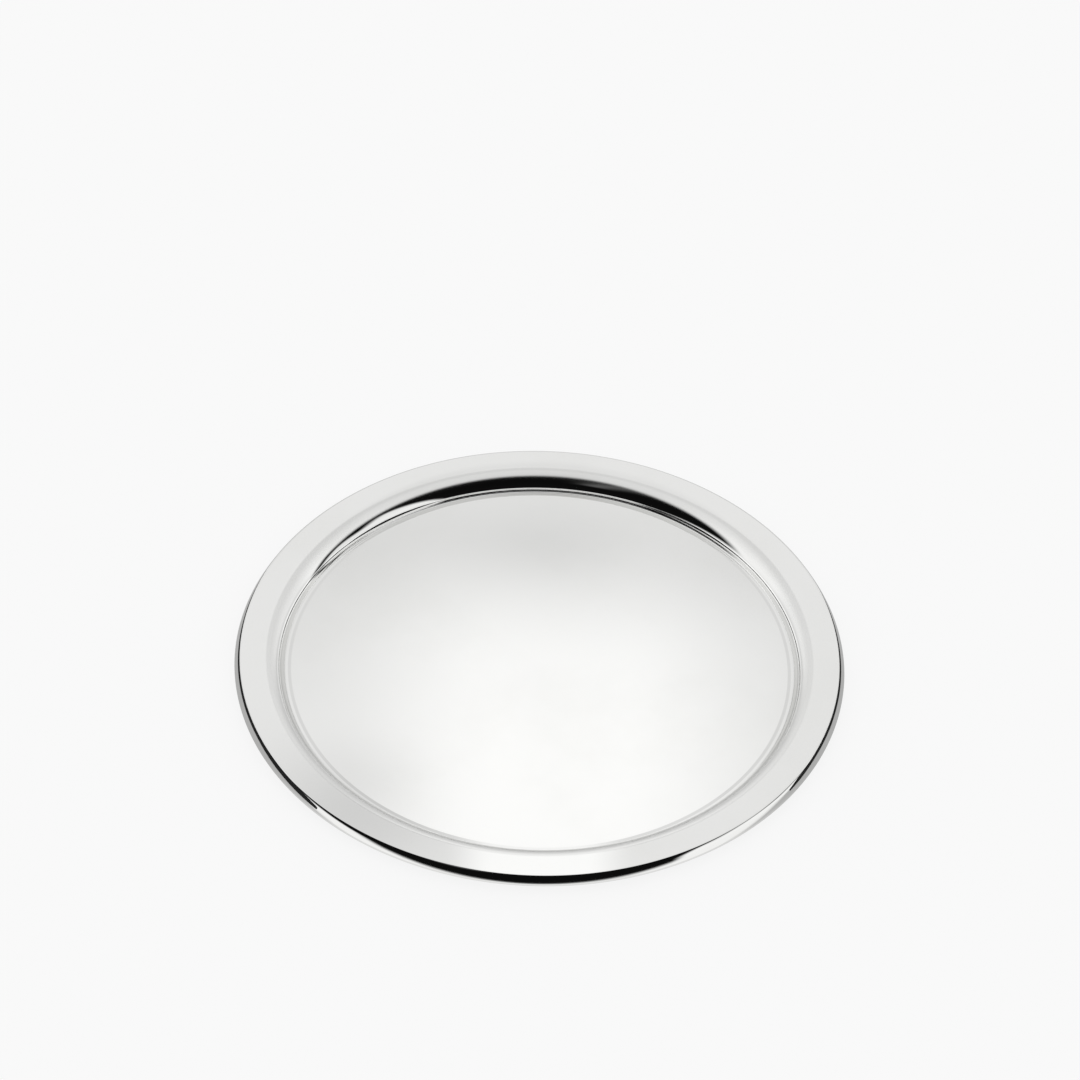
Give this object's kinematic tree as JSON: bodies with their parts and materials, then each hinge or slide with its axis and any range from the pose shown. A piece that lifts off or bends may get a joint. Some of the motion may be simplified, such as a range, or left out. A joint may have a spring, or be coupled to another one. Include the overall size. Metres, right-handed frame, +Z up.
{
  "type": "round serving tray",
  "caption": "Round polished metal serving tray with a raised flat base, a low wall that rounds over into a wide flange, and a turned-down lip rolled round a wire ring.",
  "frame": {"origin": "on the tray's axis, in the plane that the tray stands on", "axes": "+Z up along the tray's axis; X and Y are any two square directions across it, since the tray is round"},
  "size_m": [0.35, 0.35, 0.0109],
  "materials": {
    "polished_steel": "mirror polished stainless steel with very fine polish marks",
    "wire_steel": "drawn steel wire, dull"
  },
  "bodies": {
    "root": {"tray_sheet": "polished_steel", "rim_wire": "wire_steel"}
  },
  "joints": []
}
